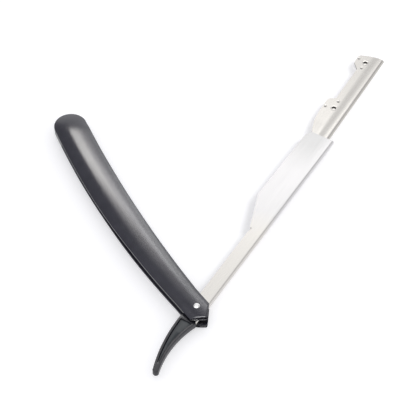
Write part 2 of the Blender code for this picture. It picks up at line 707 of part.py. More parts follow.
def make_holder(frame, parts, cutters, material):
    places = holder_places()
    start = places[-1] - HOLDER_GRIP_LENGTH - OVERRUN
    mesh = folded_mesh("blade_holder", holder_profile(), start, HOLDER_TIP + OVERRUN)
    holder = add_object("blade_holder", mesh, frame, parts, material)
    blank_mesh = plate_mesh("holder_blank", holder_blank(), -ARM_THICKNESS, ARM_THICKNESS)
    blank = add_object("holder_blank", blank_mesh, frame, cutters)
    combine(holder, as_cutter(blank), 'INTERSECT')
    for number, place in enumerate(blade_pin_places(), 1):
        for title, radius, low, high in (
                (f"blade_pin_seat_{number}", BLADE_SEAT_RADIUS, -ARM_THICKNESS, 0),
                (f"blade_pin_window_{number}", BLADE_WINDOW_RADIUS, 0, ARM_THICKNESS)):
            hole_mesh = cylinder_mesh(title, radius, low, high, place)
            combine(holder, as_cutter(add_object(title, hole_mesh, frame, cutters)), 'DIFFERENCE')
    low = HALF_BLADE_SLOT + HOLDER_SHEET / 2
    for number, place in enumerate(bump_places(), 1):
        title = f"pressed_bump_{number}"
        bump_mesh = bpy.data.meshes.new(title)
        shape = bmesh.new()
        bmesh.ops.create_cone(shape, cap_ends=True, segments=ROUND_STEPS // 2,
                              radius1=BUMP_RADIUS, radius2=BUMP_RADIUS / 2,
                              depth=HALF_HOLDER + BUMP_HEIGHT - low)
        height = (HALF_HOLDER + BUMP_HEIGHT + low) / 2
        bmesh.ops.translate(shape, verts=shape.verts, vec=(*place, height))
        shape.to_mesh(bump_mesh)
        shape.free()
        combine(holder, as_cutter(add_object(title, bump_mesh, frame, cutters)), 'UNION')
    return holder


def make_blade_pins(frame, parts, material):
    top = HALF_HOLDER - BLADE_PIN_SINK
    for name, place in zip(("upper_blade_pin", "lower_blade_pin"), blade_pin_places()):
        mesh = cylinder_mesh(name, BLADE_PIN_RADIUS, -HALF_HOLDER, top, place)
        shade(add_object(name, mesh, frame, parts, material))


def stand_on_origin(base, parts):
    """Moves the base so that the razor's box stands centred on the world's origin."""
    bpy.context.view_layer.update()
    depsgraph = bpy.context.evaluated_depsgraph_get()
    corners = []
    for thing in parts.objects:
        if thing.type == 'MESH':
            seen = thing.evaluated_get(depsgraph)
            corners += [seen.matrix_world @ vertex.co for vertex in seen.data.vertices]
    low = Vector([min(corner[axis] for corner in corners) for axis in range(3)])
    high = Vector([max(corner[axis] for corner in corners) for axis in range(3)])
    base.location -= Vector(((low.x + high.x) / 2, (low.y + high.y) / 2, low.z))
    bpy.context.view_layer.update()


def main():
    clear_scene()
    parts = make_collection("shaving_razor")
    cutters = make_collection("cutters")
    plastic = make_material("black_plastic", (0.02, 0.02, 0.022), 0.35, 0.0)
    steel = make_material("satin_steel", (0.78, 0.78, 0.77), 0.28, 1.0)
    nylon = make_material("white_nylon", (0.8, 0.8, 0.76), 0.5, 0.0)
    base = make_frame("razor_base", 0, None, parts)
    handle = make_frame("handle_frame", HANDLE_DIRECTION, base, parts)
    arm = make_frame("arm_frame", ARM_DIRECTION, base, parts)
    holder = make_frame("holder_frame", HOLDER_TILT, arm, parts)
    point_cutter(handle, cutters)
    front = make_scale("front_scale", 1, handle, parts, cutters, plastic)
    rear = make_scale("rear_scale", -1, handle, parts, cutters, plastic)
    cut_rest_land(rear, handle, cutters)
    wedge = make_wedge(handle, parts, cutters, plastic)
    make_pivot(handle, parts, steel, nylon)
    channel = make_arm(arm, parts, cutters, steel)
    tang = make_tang(arm, parts, cutters, plastic)
    blade_holder = make_holder(holder, parts, cutters, steel)
    make_blade_pins(holder, parts, steel)
    for thing in (front, rear, wedge, channel, tang, blade_holder):
        shade(thing)
    stand_on_origin(base, parts)


main()
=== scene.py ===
"""The looks of a folding barber's razor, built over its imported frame, in metres."""
import json
import math

import bmesh
import bpy
from mathutils import Matrix, Vector

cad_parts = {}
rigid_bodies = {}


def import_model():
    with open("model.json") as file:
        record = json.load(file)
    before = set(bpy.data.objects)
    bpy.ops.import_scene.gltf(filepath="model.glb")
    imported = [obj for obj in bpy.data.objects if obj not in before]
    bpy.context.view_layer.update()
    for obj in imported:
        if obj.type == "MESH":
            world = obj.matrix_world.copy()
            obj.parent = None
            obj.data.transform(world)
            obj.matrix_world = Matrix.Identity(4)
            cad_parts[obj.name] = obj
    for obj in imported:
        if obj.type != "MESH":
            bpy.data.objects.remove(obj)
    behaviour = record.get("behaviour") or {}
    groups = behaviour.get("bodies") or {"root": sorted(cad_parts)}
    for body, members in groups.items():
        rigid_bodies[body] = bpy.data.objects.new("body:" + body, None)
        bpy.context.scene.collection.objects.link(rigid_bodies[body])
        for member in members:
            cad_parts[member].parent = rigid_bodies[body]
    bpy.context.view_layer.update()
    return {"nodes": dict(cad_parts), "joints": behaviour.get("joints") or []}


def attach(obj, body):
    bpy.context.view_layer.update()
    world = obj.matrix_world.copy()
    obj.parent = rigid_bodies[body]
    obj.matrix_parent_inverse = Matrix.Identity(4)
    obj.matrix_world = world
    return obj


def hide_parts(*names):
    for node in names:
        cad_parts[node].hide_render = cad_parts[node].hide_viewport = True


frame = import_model()
JOINTS = {joint["name"]: joint for joint in frame["joints"]}
PIVOT = Vector(JOINTS["handle_pivot"]["pos_m"])
SLIDE_AXIS = Vector(JOINTS["blade_holder_slide"]["axis"])

# Directions of the bodies, from the pivot
HANDLE_DIRECTION = math.radians(123.3)
ARM_DIRECTION = math.radians(58.66)
HOLDER_DIRECTION = math.atan2(-SLIDE_AXIS.y, -SLIDE_AXIS.x)
START_HEADING = math.radians(2.75)

# Handle
CENTRELINE_RADIUS = 0.557
PIVOT_HALF_WIDTH = 0.00625
BULB_RADIUS = 0.00825
BULB_CENTRE = 0.13275
FLARE_START = 0.008
FLARE_LENGTH = 0.095
CROWN = 0.00445
REST_HEIGHT = 0.0042
WALL = 0.0012
RIM = 0.0008
SLOT_HALF_GAP = 0.00175
CLOSED_HALF_GAP = 0.00095
SLOT_END = 0.1309
CONVEX_TAPER_START = 0.04
CONVEX_TAPER_LENGTH = 0.038
HOLLOW_TAPER_LENGTH = 0.003
CROWN_POWER = 2.2
HANDLE_REACH = 0.141
END_FALL_START = 0.125
END_FALL_POWER = 2.2
END_BLEND_START = 0.012
POINT_REACH = 0.0089
POINT_ACROSS = -0.0001
CONVEX_CORNER = 0.0041
HOLLOW_CORNER = 0.0018
POINT_ROUNDING = 0.0009
NOSE_SETBACK = 0.0006
NOSE_RUN = 0.0009
NOSE_KEEP = 0.8
NOSE_RECESS = 0.0017
LIP_KEEP = 0.16
LIP_SETBACK = 0.0007
EDGE_ROUNDING = 0.00022
SHELL_STEPS_ACROSS = 44
SHELL_STEPS_ALONG = 64
END_BLEND_STEPS = 16
NOSE_STEPS = 6
BULB_STEPS = 22
BULB_END_ANGLE = math.radians(88)
BOSS_RADIUS = 0.0036
BOSS_FACE = 0.00185
WEDGE_HALF = 0.00085
WEDGE_FINGER = 0.0079
WEDGE_FINGER_WIDTH = 0.005
WEDGE_FINGER_STEPS = 6

# Pivot
PIN_RADIUS = 0.001
PIN_HEAD_RADIUS = 0.00102
PIN_FOOT_RADIUS = PIN_HEAD_RADIUS * 0.8
COLLAR_RADIUS = 0.00155
COLLAR_ROUNDING = 0.0005
FRONT_COLLAR_LOW = 0.0043
FRONT_COLLAR_HIGH = 0.0047
REAR_COLLAR_LOW = -0.0039
REAR_COLLAR_HIGH = -0.0033
PIN_TOP = 0.00495
PIN_DIMPLE = 0.0001
PIN_BOTTOM = -0.00415
SEAT_RADIUS = 0.0016
FRONT_SEAT = 0.00425
REAR_SEAT = 0.00325

# Arm
HALF_ARM = 0.00145
SHEET = 0.0005
FOLD_RADIUS = 0.001
ARM_REACH = 0.1254
SPINE_OFFSET = 0.0038
EDGE_OFFSET = 0.0035
SPINE_TAIL = 0.0068
LEAF_TAIL = 0.0009
TAIL_END = 0.004
NICK_LENGTH = 0.003
NICK_DEPTH = 0.0007
SLEEVE_FLARE = 0.0553
FLARE_STEP = 0.0006
SLEEVE_HEEL = 0.0756
HEEL_EDGE = 0.0113
MOUTH_EDGE = 0.0108
MOUTH_CHAMFER = 0.0035
MOUTH_CORNER_EDGE = 0.009
SHEET_ROUNDING = 0.00012
SHEET_SHARP_ANGLE = math.radians(18)

# Tang
TANG_LENGTH = 0.038
TANG_TIP_DROP = 0.0018
TANG_TIP_RADIUS = 0.0015
TANG_GAP = 0.0003
TANG_EDGE_ROOT = (-0.0066, 0.0047)
TANG_EDGE_WAIST = (-0.0192, 0.00415)
TANG_SPINE_ROOT = (-0.0075, -0.0037)
TANG_SPINE_WAIST = (-0.0192, -0.0012)
SHOULDER_LOW = ((-0.0056, 0.0045), (-0.0074, -0.0038))
SHOULDER_HIGH = ((-0.0060, 0.0046), (-0.0076, -0.0038))
PANEL_ROOT = -0.008
PANEL_END = -0.0336
TANG_END_ANGLE = math.radians(84)
TANG_RIM = 0.0011
PANEL_DEPTH = 0.0004
TANG_GROOVE = 0.0005
GROOVE_SHARE = 1.8
TANG_ROUNDING = 0.0003
SHOULDER_DROP = 0.00015
TONGUE_HALF = 0.00085
TONGUE_REACH = 0.018
TONGUE_EDGE_ROOM = 0.0007

# Blade holder
HOLDER_END = 0.1122
GRIP_MIDDLE = 0.118
GRIP_END = 0.1239
GRIP_WIDTH = 0.0016
TAPER_START = 0.127
LOWER_TAB_END = 0.1504
LOWER_RAMP = 0.1517
NOTCH_START = 0.1537
NOTCH_END = 0.1778
NOTCH_WIDTH = 0.0053
UPPER_RAMP = 0.1815
HOLDER_TIP = 0.19027
TIP_RADIUS = 0.0185
TIP_PEAK = -0.001
TAB_WIDTH = 0.0089
TAB_CORNER = 0.0006
HOLDER_HALF = 0.00045
BLADE_SLOT_HALF = 0.00005
RIDGE_HEIGHT = 0.00085
RIDGE_ACROSS = -0.0024
HOLDER_SPINE = -0.0047
COVE_START = 0.0024
SLOT_BOTTOM = -0.0035
HOLE_RADIUS = 0.00115
HOLE_DEPTH = 0.00075
BLADE_PIN_RADIUS = 0.00102
BLADE_PIN_SUNK = 0.00055
UPPER_PIN = (0.1839, 0.0034)
LOWER_PIN = (0.1466, 0.0031)
BUMPS = {"upper_bump": (0.1797, 0.0036), "lower_bump": (0.1519, 0.0032),
         "upper_tooth": (0.1855, 0.0079), "lower_tooth": (0.1459, 0.0076)}
BUMP_RADIUS = 0.0008
BUMP_HEIGHT = 0.00045
HOLE_RIM = ((0, -0.00002), (0, 0.00006), (0.00015, 0.0001), (0.0004, 0.00005),
            (0.0007, -0.00002))
CREASE = 0.1347
CREASE_RUN = 0.0085
CREASE_LIFT = 0.0001
CREASE_ACROSS = 0.0018
CREASE_SPREAD = 0.0012

# Finishes, with scales along the piece, across it and up, in waves per metre
MOTTLE_SCALE = (260, 260, 260)
PLASTIC_GLOSS_SCALE = (55, 140, 140)
SKIN_SCALE = (2600, 2600, 2600)
SKIN_BUMP = 0.0000035
CLOUD_SCALE = (28, 70, 70)
LINE_SCALE = (90, 5200, 5200)
LINE_BUMP = 0.0000025
NYLON_SCALE = (1800, 1800, 1800)
NYLON_GLOSS_SCALE = (300, 300, 300)
NYLON_BUMP = 0.000008
ARM_TINT_RUN = (0.075, 0.04)
# Painted shade that greys the sleeve towards its mouth, in place of a dimmer reflection: where
# along, where across, and its tint
SHADE_PATCH_RUN = (0.098, 0.118)
SHADE_PATCH_ACROSS = (-0.0022, 0.0016)
SHADE_PATCH_TINT = (0.86, 0.865, 0.86)

# Studio
FLOOR_SIZE = 3
FLOOR_COLOUR = (0.90, 0.90, 0.915)
FLOOR_GLOW = (0.295, 0.295, 0.295)

# Camera
CLIP_RANGE = (0.01, 20)
CAMERA_ELEVATION = math.radians(50)
CAMERA_DISTANCE = 0.8
CAMERA_TARGET = Vector((PIVOT.x + 0.00612, PIVOT.y + 0.06476, 0))
IMAGE_SIDE = 420
FOCAL_PIXELS = 1632.65
SENSOR = 36

TINY = 0.00002

# Sockets of a Mix node for colours
MIX_SHARE, MIX_A, MIX_B, MIX_RESULT = 0, 6, 7, 2

# Two soft glows of the world: the middle, the outer edge and its colour, the core and its colour
WORLD_GLOWS = (
    (MIX_A, (0, 0.6, 0.8), 0.94, (0.54, 0.54, 0.56), 0.998, (1.2, 1.2, 1.2)),
    (MIX_B, (0.962, 0.084, 0.259), 0.55, (0.4, 0.4, 0.4), 0.88, (0.94, 0.94, 0.94)))


def frame_matrix(direction):
    return Matrix.Translation(PIVOT) @ Matrix.Rotation(direction, 4, 'Z')


def eased(value, start, length):
    share = min(max((value - start) / length, 0), 1)
    return share * share * (3 - 2 * share)


def spread(start, end, count):
    return [start + (end - start) * step / count for step in range(count + 1)]


def between(value, places):
    """Straight lines through a list of places, read at a value."""
    for (x0, y0), (x1, y1) in zip(places, places[1:]):
        if value <= x1:
            return y0 + (y1 - y0) * (value - x0) / (x1 - x0)
    return places[-1][1]


def circle_at(first, middle, last):
    """The height at any place of the circle through three points, on their side of it."""
    (ax, ay), (bx, by), (cx, cy) = first, middle, last
    twice_area = 2 * (ax * (by - cy) + bx * (cy - ay) + cx * (ay - by))
    a_square, b_square, c_square = ax * ax + ay * ay, bx * bx + by * by, cx * cx + cy * cy
    x = (a_square * (by - cy) + b_square * (cy - ay) + c_square * (ay - by)) / twice_area
    y = (a_square * (cx - bx) + b_square * (ax - cx) + c_square * (bx - ax)) / twice_area
    radius = math.hypot(ax - x, ay - y)
    side = math.copysign(1, by - y)
    return lambda place: y + side * math.sqrt(max(radius ** 2 - (place - x) ** 2, 0))


def new_piece(name, mesh, direction, body, slot, *nodes):
    mesh.transform(frame_matrix(direction))
    piece = bpy.data.objects.new(name, mesh)
    bpy.context.scene.collection.objects.link(piece)
    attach(piece, body)
    if nodes:
        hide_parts(*nodes)
    return piece


def smooth(mesh, angle=math.radians(34)):
    mesh.shade_smooth()
    mesh.set_sharp_from_angle(angle=angle)


def skin(name, rings, strip_caps=True):
    """A closed skin over rings; a ring that runs out and back is capped by a strip of faces."""
    mesh = bpy.data.meshes.new(name)
    shape = bmesh.new()
    loops = [[shape.verts.new(point) for point in ring] for ring in rings]
    count = len(loops[0])
    for lower, upper in zip(loops, loops[1:]):
        for place in range(count):
            after = (place + 1) % count
            shape.faces.new((lower[place], lower[after], upper[after], upper[place]))
    for loop in (loops[0], loops[-1]):
        if strip_caps:
            for place in range(count // 2 - 1):
                shape.faces.new((loop[place], loop[place + 1],
                                 loop[count - 2 - place], loop[count - 1 - place]))
        else:
            shape.faces.new(loop)
    bmesh.ops.recalc_face_normals(shape, faces=shape.faces)
    shape.to_mesh(mesh)
    shape.free()
    return mesh


def finished(mesh, modifiers):
    """The mesh with modifiers applied: each is a type and its settings."""
    holder = bpy.data.objects.new(mesh.name, mesh)
    bpy.context.scene.collection.objects.link(holder)
    for kind, settings in modifiers:
        modifier = holder.modifiers.new(kind, kind)
        for setting, value in settings.items():
            setattr(modifier, setting, value)
    depsgraph = bpy.context.evaluated_depsgraph_get()
    made = bpy.data.meshes.new_from_object(holder.evaluated_get(depsgraph))
    bpy.data.objects.remove(holder, do_unlink=True)
    return made


def rounded(mesh, width, segments=3):
    return finished(mesh, [('BEVEL', {"width": width, "segments": segments,
                                      "limit_method": 'ANGLE',
                                      "angle_limit": math.radians(40)})])


def drilled(mesh, cutters):
    """The mesh with round holes: each cutter is a place, a radius and two heights."""
    tools = []
    modifiers = []
    for place, radius, low, high in cutters:
        tool_mesh = bpy.data.meshes.new("drill")
        shape = bmesh.new()
        bmesh.ops.create_cone(shape, cap_ends=True, segments=40, radius1=radius,
                              radius2=radius, depth=high - low)
        bmesh.ops.translate(shape, verts=shape.verts, vec=(*place, (high + low) / 2))
        shape.to_mesh(tool_mesh)
        shape.free()
        tool = bpy.data.objects.new("drill", tool_mesh)
        bpy.context.scene.collection.objects.link(tool)
        tools.append(tool)
        modifiers.append(('BOOLEAN', {"object": tool, "operation": 'DIFFERENCE',
                                      "solver": 'EXACT'}))
    made = finished(mesh, modifiers)
    for tool in tools:
        bpy.data.objects.remove(tool, do_unlink=True)
    return made


def turned(name, profile, place=(0, 0), segments=64):
    """A turned solid from a profile of radius and height, from end to end of the axis."""
    mesh = bpy.data.meshes.new(name)
    shape = bmesh.new()
    loops = []
    for radius, height in profile:
        if radius == 0:
            loops.append([shape.verts.new((*place, height))])
            continue
        loops.append([shape.verts.new((place[0] + radius * math.cos(math.tau * turn / segments),
                                       place[1] + radius * math.sin(math.tau * turn / segments),
                                       height)) for turn in range(segments)])
    for lower, upper in zip(loops, loops[1:]):
        for turn in range(segments):
            after = (turn + 1) % segments
            corners = [lower[turn % len(lower)], lower[after % len(lower)],
                       upper[after % len(upper)], upper[turn % len(upper)]]
            shape.faces.new(list(dict.fromkeys(corners)))
    bmesh.ops.recalc_face_normals(shape, faces=shape.faces)
    shape.to_mesh(mesh)
    shape.free()
    return mesh


# ---------------------------------------------------------------- materials


class Shader:
    """A Principled material and the few node helpers that the finishes share."""

    def __init__(self, name, direction, colour, roughness, metallic=0.0):
        self.material = bpy.data.materials.new(name)
        self.material.use_nodes = True
        self.tree = self.material.node_tree
        self.surface = self.tree.nodes["Principled BSDF"]
        self.surface.inputs["Base Color"].default_value = (*colour, 1)
        self.surface.inputs["Roughness"].default_value = roughness
        self.surface.inputs["Metallic"].default_value = metallic
        self.direction = direction

    def link(self, output, target):
        self.tree.links.new(output, target)

    def stretched(self, scale):
        """Places measured along the body, across it and up, each with its own scale."""
        place = self.tree.nodes.new("ShaderNodeTexCoord")
        mapping = self.tree.nodes.new("ShaderNodeMapping")
        mapping.vector_type = 'TEXTURE'
        mapping.inputs["Location"].default_value = PIVOT
        mapping.inputs["Rotation"].default_value = (0, 0, self.direction)
        mapping.inputs["Scale"].default_value = [1 / factor for factor in scale]
        self.link(place.outputs["Object"], mapping.inputs["Vector"])
        return mapping.outputs["Vector"]

    def noise(self, scale, detail=3.0, roughness=0.5):
        noise = self.tree.nodes.new("ShaderNodeTexNoise")
        noise.inputs["Scale"].default_value = 1
        noise.inputs["Detail"].default_value = detail
        noise.inputs["Roughness"].default_value = roughness
        self.link(self.stretched(scale), noise.inputs["Vector"])
        return noise.outputs["Fac"]

    def along(self, start, end, axis="X"):
        """0 at one place along the body or across it, 1 at another, and clamped outside."""
        parts = self.tree.nodes.new("ShaderNodeSeparateXYZ")
        self.link(self.stretched((1, 1, 1)), parts.inputs["Vector"])
        share = self.tree.nodes.new("ShaderNodeMapRange")
        share.inputs["From Min"].default_value = start
        share.inputs["From Max"].default_value = end
        self.link(parts.outputs[axis], share.inputs["Value"])
        return share.outputs["Result"]

    def product(self, first, second):
        times = self.tree.nodes.new("ShaderNodeMath")
        times.operation = 'MULTIPLY'
        self.link(first, times.inputs[0])
        self.link(second, times.inputs[1])
        return times.outputs["Value"]

    def mean(self, first, second):
        mix = self.tree.nodes.new("ShaderNodeMix")
        mix.inputs["Factor"].default_value = 0.5
        self.link(first, mix.inputs["A"])
        self.link(second, mix.inputs["B"])
        return mix.outputs["Result"]

    def ramp(self, value, *stops):
        ramp = self.tree.nodes.new("ShaderNodeValToRGB")
        elements = ramp.color_ramp.elements
        for number, (position, colour) in enumerate(stops):
            element = elements[number] if number < 2 else elements.new(position)
            element.position = position
            element.color = (*colour, 1)
        self.link(value, ramp.inputs["Fac"])
        return ramp.outputs["Color"]

    def between(self, value, low, high):
        spread_out = self.tree.nodes.new("ShaderNodeMapRange")
        spread_out.inputs["To Min"].default_value = low
        spread_out.inputs["To Max"].default_value = high
        self.link(value, spread_out.inputs["Value"])
        return spread_out.outputs["Result"]

    def tinted(self, colour, share, tint):
        """A colour multiplied by a tint where the share is 1, and left as it is where it is 0."""
        mix = self.tree.nodes.new("ShaderNodeMix")
        mix.data_type = 'RGBA'
        mix.blend_type = 'MULTIPLY'
        mix.inputs[MIX_B].default_value = (*tint, 1)
        self.link(share, mix.inputs[MIX_SHARE])
        self.link(colour, mix.inputs[MIX_A])
        return mix.outputs[MIX_RESULT]

    def bump(self, value, distance):
        bump = self.tree.nodes.new("ShaderNodeBump")
        bump.inputs["Distance"].default_value = distance
        self.link(value, bump.inputs["Height"])
        self.link(bump.outputs["Normal"], self.surface.inputs["Normal"])


def moulded_plastic(name, direction, dark, light, roughness):
    """Black moulded plastic: faint mottling, a fine skin texture and uneven gloss."""
    shader = Shader(name, direction, dark, roughness)
    mottle = shader.noise(MOTTLE_SCALE, 4)
    shader.link(shader.ramp(mottle, (0.35, dark), (0.7, light)),
                shader.surface.inputs["Base Color"])
    gloss = shader.noise(PLASTIC_GLOSS_SCALE, 3)
    shader.link(shader.between(gloss, roughness - 0.03, roughness + 0.04),
                shader.surface.inputs["Roughness"])
    shader.bump(shader.noise(SKIN_SCALE, 2), SKIN_BUMP)
    return shader.material


def satin_steel(name, direction, cool, warm, roughness, fade=None, painted_patch=None):
    """Satin stainless sheet: fine lines along the piece, clouded gloss and a faint tint.

    The tint may also fade from warm to cool along the piece, and one end may be greyed by painted
    shade, in place of a dimmer reflection there.
    """
    shader = Shader(name, direction, cool, roughness, 1.0)
    clouds = shader.noise(CLOUD_SCALE, 2)
    if fade:
        clouds = shader.mean(clouds, shader.along(*fade))
    colour = shader.ramp(clouds, (0.35, cool), (0.65, warm))
    # Painted shade: a greyer patch near one end, in place of a dimmer reflection
    if painted_patch:
        share = shader.product(shader.along(*painted_patch), shader.along(*SHADE_PATCH_ACROSS, "Y"))
        colour = shader.tinted(colour, share, SHADE_PATCH_TINT)
    shader.link(colour, shader.surface.inputs["Base Color"])
    lines = shader.noise(LINE_SCALE, 3, 0.6)
    shader.link(shader.between(lines, roughness - 0.05, roughness + 0.07),
                shader.surface.inputs["Roughness"])
    shader.bump(lines, LINE_BUMP)
    return shader.material


PLASTIC = moulded_plastic("black_plastic_moulded", HANDLE_DIRECTION, (0.007, 0.007, 0.011),
                          (0.011, 0.011, 0.016), 0.24)
TANG_PLASTIC = moulded_plastic("tang_plastic_moulded", ARM_DIRECTION, (0.012, 0.012, 0.017),
                               (0.018, 0.018, 0.025), 0.36)
PANEL_PLASTIC = moulded_plastic("tang_panel_matte", ARM_DIRECTION, (0.012, 0.018, 0.024),
                                (0.017, 0.024, 0.031), 0.5)
# The arm's sleeve is greyed near its mouth by painted shade
ARM_STEEL = satin_steel("arm_steel_satin", ARM_DIRECTION, (0.62, 0.612, 0.615),
                        (0.65, 0.63, 0.603), 0.19, ARM_TINT_RUN, SHADE_PATCH_RUN)
HOLDER_STEEL = satin_steel("holder_steel_satin", HOLDER_DIRECTION, (0.62, 0.60, 0.57),
                           (0.66, 0.64, 0.61), 0.19)
COLLAR_STEEL = satin_steel("collar_steel_turned", HANDLE_DIRECTION, (0.64, 0.64, 0.64),
                           (0.70, 0.70, 0.69), 0.36)
# Dark steel painted where there is only shade: the walls of the pin holes and the notch's sheared
# edges
SHADE_STEEL = satin_steel("blade_pin_steel", HOLDER_DIRECTION, (0.16, 0.16, 0.155),
                         (0.22, 0.215, 0.21), 0.42)


def nylon():
    shader = Shader("washer_nylon", HANDLE_DIRECTION, (0.62, 0.62, 0.58), 0.5)
    shader.bump(shader.noise(NYLON_SCALE, 2), NYLON_BUMP)
    shader.link(shader.between(shader.noise(NYLON_GLOSS_SCALE), 0.42, 0.58),
                shader.surface.inputs["Roughness"])
    return shader.material


# ---------------------------------------------------------------- handle


def handle_point(reach, across):
    """A point of the handle's plan; across is positive towards its bulging edge."""
    heading = START_HEADING - reach / CENTRELINE_RADIUS
    x = CENTRELINE_RADIUS * (math.sin(START_HEADING) - math.sin(heading))
    y = CENTRELINE_RADIUS * (math.cos(heading) - math.cos(START_HEADING))
    return x - across * math.sin(heading), y + across * math.cos(heading)


def half_width(reach):
    past = reach - BULB_CENTRE
    if past > 0:
        return math.sqrt(max(BULB_RADIUS ** 2 - past ** 2, 0))
    share = min(max((reach - FLARE_START) / FLARE_LENGTH, 0), 1)
    return PIVOT_HALF_WIDTH + (BULB_RADIUS - PIVOT_HALF_WIDTH) * math.sin(share * math.pi / 2)


def half_gap(reach, across_share):
    fall = CLOSED_HALF_GAP - SLOT_HALF_GAP
    convex = fall * eased(reach, CONVEX_TAPER_START, CONVEX_TAPER_LENGTH)
    hollow = fall * eased(reach, SLOT_END - HOLLOW_TAPER_LENGTH, HOLLOW_TAPER_LENGTH)
    return SLOT_HALF_GAP + hollow + (convex - hollow) * (across_share + 1) / 2


def dome(reach, across, half, base, top):
    side_fall = 1 - min(abs(across) / half, 1) ** CROWN_POWER
    end_share = min(max((reach - END_FALL_START) / (HANDLE_REACH - END_FALL_START), 0), 1)
    return base + (top - base) * side_fall * (1 - end_share ** END_FALL_POWER)


def point_reach(across):
    """How far along the handle its pointed end lies, at a place across it."""
    convex = ((across - POINT_ACROSS) * (POINT_REACH - CONVEX_CORNER)
              / (PIVOT_HALF_WIDTH - POINT_ACROSS))
    hollow = ((POINT_ACROSS - across) * (POINT_REACH - HOLLOW_CORNER)
              / (PIVOT_HALF_WIDTH + POINT_ACROSS))
    return (convex + hollow + math.hypot(convex - hollow, POINT_ROUNDING)) / 2 - POINT_REACH


def shell_mesh(name, side):
    """One scale as a hollow shell: each ring runs over the dome and back inside it."""
    rings = []

    def ring(reach_at, hollow_share, keep=1):
        """One ring, with its outer face lowered to a share of its height over the slot."""
        middle = reach_at(0)
        half = half_width(middle)
        inner = max(half - WALL, half / 3)
        outside, inside = [], []
        for step in range(SHELL_STEPS_ACROSS + 1):
            share = -math.cos(math.pi * step / SHELL_STEPS_ACROSS)
            across = share * half
            reach = reach_at(across)
            base = half_gap(reach, share)
            height = min(dome(reach, across, half, base + RIM, CROWN),
                         CROWN if side > 0 else REST_HEIGHT)
            height = base + (height - base) * keep
            plan = handle_point(reach, across)
            if step == 0:
                outside.append((*plan, side * base))
            outside.append((*plan, side * height))
            if step == SHELL_STEPS_ACROSS:
                outside.append((*plan, side * base))
            across = share * inner
            reach = reach_at(across)
            base = half_gap(reach, share)
            roof = dome(reach, across, inner, SLOT_HALF_GAP, CROWN - WALL)
            height = base + TINY + (roof - base - TINY) * hollow_share
            plan = handle_point(reach, across)
            if step == 0:
                inside.append((*plan, side * base))
            inside.append((*plan, side * height))
            if step == SHELL_STEPS_ACROSS:
                inside.append((*plan, side * base))
        rings.append(outside + inside[::-1])

    # From the thin lip at the pointed end, over the recess behind it, and up the rounded nose
    end_steps = [(LIP_SETBACK, LIP_KEEP / 2), (LIP_SETBACK, LIP_KEEP),
                 (LIP_SETBACK + EDGE_ROUNDING, LIP_KEEP * 1.3),
                 (NOSE_RECESS, LIP_KEEP * 1.5), (NOSE_RECESS, NOSE_KEEP * 0.85),
                 (NOSE_SETBACK + EDGE_ROUNDING, NOSE_KEEP * 0.93)]
    end_steps += [(NOSE_SETBACK + NOSE_RUN * (1 - math.cos(angle)),
                   NOSE_KEEP + (1 - NOSE_KEEP) * math.sin(angle))
                  for angle in spread(0, math.pi / 2, NOSE_STEPS)]
    for inset, keep in end_steps:
        ring(lambda across, inset=inset: point_reach(across) + inset, keep / 2, keep)
    nose_top = NOSE_SETBACK + NOSE_RUN
    for share in spread(0, 1, END_BLEND_STEPS)[1:]:
        ring(lambda across, share=share: (point_reach(across) + nose_top) * (1 - share)
             + END_BLEND_START * share, 1)
    for reach in spread(END_BLEND_START, SLOT_END - TINY, SHELL_STEPS_ALONG)[1:]:
        ring(lambda across, reach=reach: reach, 1)
    for reach in [SLOT_END + TINY] + bulb_stations():
        ring(lambda across, reach=reach: reach, 0)
    return skin(name, rings)


def bulb_stations():
    return [BULB_CENTRE + BULB_RADIUS * math.sin(angle)
            for angle in spread(0, BULB_END_ANGLE, BULB_STEPS)]


def make_shells():
    for name, side, node in (("front_shell", 1, "front_scale"), ("rear_shell", -1, "rear_scale")):
        mesh = rounded(shell_mesh(name, side), EDGE_ROUNDING)
        seat = FRONT_SEAT if side > 0 else REAR_SEAT
        low, high = sorted((side * seat, side * (CROWN + WALL)))
        mesh = drilled(mesh, [((0, 0), SEAT_RADIUS, low, high)])
        smooth(mesh)
        mesh.materials.append(PLASTIC)
        new_piece(name, mesh, HANDLE_DIRECTION, "handle", "black_plastic", node)
        face, roof = side * BOSS_FACE, side * (CROWN - WALL + TINY)
        boss = turned(name + "_boss", [(0, roof), (BOSS_RADIUS - WALL, roof),
                                       (BOSS_RADIUS, (face + roof) / 2), (BOSS_RADIUS, face),
                                       (PIN_RADIUS, face), (PIN_RADIUS, roof / 2),
                                       (0, roof / 2)])
        smooth(boss)
        boss.materials.append(PLASTIC)
        new_piece(name + "_boss", boss, HANDLE_DIRECTION, "handle", "black_plastic")


def make_wedge():
    """The wedge that closes the bulb, with its finger along the bulging edge."""
    stations = spread(SLOT_END - WEDGE_FINGER, SLOT_END, WEDGE_FINGER_STEPS) + bulb_stations()
    rings = []
    for reach in stations:
        half = half_width(reach)
        grown = (reach - stations[0]) / WEDGE_FINGER
        inner = max(half - WEDGE_FINGER_WIDTH * grown - TINY, -half)
        if reach > SLOT_END:
            inner = -half
        left, right = handle_point(reach, half), handle_point(reach, inner)
        rings.append([(*left, WEDGE_HALF), (*right, WEDGE_HALF), (*right, -WEDGE_HALF),
                      (*left, -WEDGE_HALF)])
    mesh = skin("bulb_wedge", rings, strip_caps=False)
    smooth(mesh)
    mesh.materials.append(PLASTIC)
    new_piece("bulb_wedge", mesh, HANDLE_DIRECTION, "handle", "black_plastic", "handle_wedge")


def quarter(radius, height, rounding, turn=1, steps=6):
    """A rounded outer corner of a turned profile, from its face to its side."""
    return [(radius - rounding + rounding * math.sin(angle),
             height - turn * rounding * (1 - math.cos(angle)))
            for angle in spread(0, math.pi / 2, steps)]


